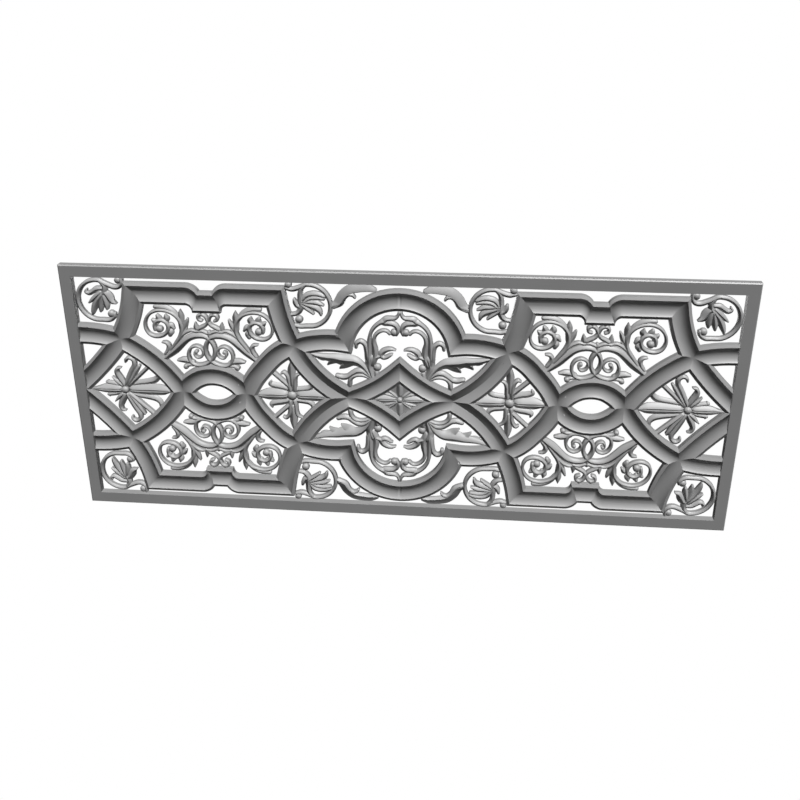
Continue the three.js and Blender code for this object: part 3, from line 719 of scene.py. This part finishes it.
def quarter_openwork():
    """The carving of one quarter as one closed solid, with flat faces where it meets the other quarters."""
    straps = [strap_solids(path, flip) for path in strap_paths() for flip in (1, -1)]
    carving = [piece for motif in MOTIFS for piece in motif_solids(motif)]
    carving = united(carving + trapezoid_solids() + [diamond_ground()])
    bodies = united([body for body, space in straps])
    spaces = united([space for body, space in straps] + [crease_space()])
    whole = combined(bodies, carving, "UNION")
    whole = combined(whole, spaces, "DIFFERENCE")
    return combined(whole, quarter_block(), "INTERSECT")


def make_openwork():
    """Four mirrored quarters, welded where they meet on the panel's axes."""
    quarter = quarter_openwork()
    weld = 2e-6
    whole = bmesh.new()
    whole.from_mesh(quarter.data)
    for vertex in whole.verts:
        vertex.co.x = 0 if abs(vertex.co.x) < weld else vertex.co.x
        vertex.co.z = 0 if abs(vertex.co.z) < weld else vertex.co.z
    seams = [face for face in whole.faces
             if all(v.co.x == 0 for v in face.verts) or all(v.co.z == 0 for v in face.verts)]
    bmesh.ops.delete(whole, geom=seams, context="FACES")
    for axis in (0, 2):
        copy = bmesh.ops.duplicate(whole, geom=whole.verts[:] + whole.edges[:] + whole.faces[:])
        moved = [item for item in copy["geom"] if isinstance(item, bmesh.types.BMVert)]
        for vertex in moved:
            vertex.co[axis] *= -1
        turned = [item for item in copy["geom"] if isinstance(item, bmesh.types.BMFace)]
        bmesh.ops.reverse_faces(whole, faces=turned)
        bmesh.ops.remove_doubles(whole, verts=[v for v in whole.verts if v.co[axis] == 0], dist=weld)
    piece = make_object("carved_openwork", [], [])
    whole.to_mesh(piece.data)
    whole.free()
    bpy.data.objects.remove(quarter)
    return piece


def soften(piece):
    """Smooth shading, with crisp edges on the straps' ridges and groins and between strap and carving."""
    piece.data.shade_smooth()
    shape = bmesh.new()
    shape.from_mesh(piece.data)
    limits = {STRAP: math.radians(SHARP_STRAP_DEGREES), CARVING: math.radians(SHARP_CARVING_DEGREES)}
    for edge in shape.edges:
        kinds = {face.material_index for face in edge.link_faces}
        edge.smooth = len(kinds) == 1 and edge.calc_face_angle(0) < limits[kinds.pop()]
    shape.to_mesh(piece.data)
    shape.free()


def painted_side_shade(nodes, links):
    """Share of the paint's tone left on faces that look sideways: painted shade for sides dark in the
    photograph.
    """
    lie = nodes.new("ShaderNodeNewGeometry")
    split = nodes.new("ShaderNodeSeparateXYZ")
    links.new(lie.outputs["True Normal"], split.inputs["Vector"])
    product = nodes.new("ShaderNodeMath")
    product.operation = "MULTIPLY"
    for place, (axis, start, end, darkest) in enumerate(PAINTED_SIDE_SHADES):
        turned = nodes.new("ShaderNodeMath")
        turned.operation = "ABSOLUTE"
        links.new(split.outputs[axis], turned.inputs[0])
        shade = nodes.new("ShaderNodeMapRange")
        shade.inputs["From Min"].default_value = start
        shade.inputs["From Max"].default_value = end
        shade.inputs["To Min"].default_value = 1
        shade.inputs["To Max"].default_value = darkest
        links.new(turned.outputs["Value"], shade.inputs["Value"])
        links.new(shade.outputs["Result"], product.inputs[place])
    return product


def satin_paint_with_painted_shade():
    """Even mid-grey satin paint with a faint unevenness of tone and sheen, and painted shade on side faces.
    """
    material = bpy.data.materials.new("satin_grey_paint_with_painted_shade")
    material.use_nodes = True
    nodes, links = material.node_tree.nodes, material.node_tree.links
    shader = nodes["Principled BSDF"]
    shader.inputs["Metallic"].default_value = 0
    shader.inputs["Specular IOR Level"].default_value = 0.5
    place = nodes.new("ShaderNodeTexCoord")
    cloud = nodes.new("ShaderNodeTexNoise")
    cloud.inputs["Scale"].default_value = 14
    cloud.inputs["Detail"].default_value = 4
    links.new(place.outputs["Object"], cloud.inputs["Vector"])
    tone = nodes.new("ShaderNodeValToRGB")
    tone.color_ramp.elements[0].color = (0.37, 0.37, 0.37, 1)
    tone.color_ramp.elements[1].color = (0.43, 0.43, 0.43, 1)
    links.new(cloud.outputs["Fac"], tone.inputs["Fac"])
    # Painted shade: the tone is scaled down on faces that look sideways
    shaded = nodes.new("ShaderNodeVectorMath")
    shaded.operation = "SCALE"
    links.new(tone.outputs["Color"], shaded.inputs[0])
    links.new(painted_side_shade(nodes, links).outputs["Value"], shaded.inputs["Scale"])
    links.new(shaded.outputs["Vector"], shader.inputs["Base Color"])
    sheen = nodes.new("ShaderNodeMapRange")
    sheen.inputs["To Min"].default_value = 0.42
    sheen.inputs["To Max"].default_value = 0.5
    links.new(cloud.outputs["Fac"], sheen.inputs["Value"])
    links.new(sheen.outputs["Result"], shader.inputs["Roughness"])
    return material


def white_glow():
    """Even white of the floor, the same as the background's."""
    material = bpy.data.materials.new("white_floor")
    material.use_nodes = True
    nodes, links = material.node_tree.nodes, material.node_tree.links
    nodes.clear()
    glow = nodes.new("ShaderNodeEmission")
    glow.inputs["Color"].default_value = (1, 1, 1, 1)
    output = nodes.new("ShaderNodeOutputMaterial")
    links.new(glow.outputs["Emission"], output.inputs["Surface"])
    return material


def add_floor():
    """Plain white floor under the panel. Only the camera sees it, so no light comes up from it."""
    side = 40
    half = side / 2
    corners = [(-half, -half, 0), (half, -half, 0), (half, half, 0), (-half, half, 0)]
    floor = make_object("floor", corners, [[0, 1, 2, 3]])
    floor.location.z = frame_low.z * MM
    floor.data.materials.append(white_glow())
    floor.visible_diffuse = False
    floor.visible_glossy = False
    floor.visible_shadow = False


def add_light(name, strength, elevation, azimuth):
    """Soft light that casts no shadow; the azimuth turns from the front to the right, in degrees."""
    lamp = bpy.data.lights.new(name, "SUN")
    lamp.energy = strength
    lamp.angle = math.radians(LIGHT_SPREAD_DEGREES)
    lamp.use_shadow = False
    light = bpy.data.objects.new(name, lamp)
    light.rotation_euler = (math.radians(90 - elevation), 0, math.radians(azimuth))
    bpy.context.scene.collection.objects.link(light)


def add_world():
    """White to the camera, and a faint grey light on the panel."""
    world = bpy.data.worlds.new("studio")
    bpy.context.scene.world = world
    world.use_nodes = True
    nodes, links = world.node_tree.nodes, world.node_tree.links
    fill = nodes["Background"]
    fill.inputs["Color"].default_value = (1, 1, 1, 1)
    fill.inputs["Strength"].default_value = FILL_STRENGTH
    white = nodes.new("ShaderNodeBackground")
    white.inputs["Color"].default_value = (1, 1, 1, 1)
    white.inputs["Strength"].default_value = 1
    ray = nodes.new("ShaderNodeLightPath")
    mix = nodes.new("ShaderNodeMixShader")
    links.new(ray.outputs["Is Camera Ray"], mix.inputs["Fac"])
    links.new(fill.outputs["Background"], mix.inputs[1])
    links.new(white.outputs["Background"], mix.inputs[2])
    links.new(mix.outputs["Shader"], nodes["World Output"].inputs["Surface"])


def add_camera():
    """Camera at the photograph's angle, above the panel and a little to its right."""
    place = Vector((0.1209, -1.3211, 0.5940))
    target = Vector((0.00094, -0.0125, 0.00264))
    data = bpy.data.cameras.new("camera")
    data.lens = 43.456
    data.sensor_width = 36
    camera = bpy.data.objects.new("camera", data)
    camera.location = place
    camera.rotation_euler = (target - place).to_track_quat("-Z", "Y").to_euler()
    bpy.context.scene.collection.objects.link(camera)
    bpy.context.scene.camera = camera


def put_paint(piece, material):
    """One material all over a piece."""
    piece.data.materials.clear()
    piece.data.materials.append(material)


# Grey satin paint with painted shade on its side faces, for the openwork and the frame
paint = satin_paint_with_painted_shade()
face_kinds = [bpy.data.materials.new(kind) for kind in ("strap", "carving")]
openwork = make_openwork()
soften(openwork)
put_paint(openwork, paint)
put_paint(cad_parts["frame"], paint)
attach(openwork, "root")
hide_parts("openwork")
add_floor()
add_light("key", *KEY_LIGHT)
add_light("back", *BACK_LIGHT)
add_world()
add_camera()
bpy.context.scene.view_settings.view_transform = "Standard"
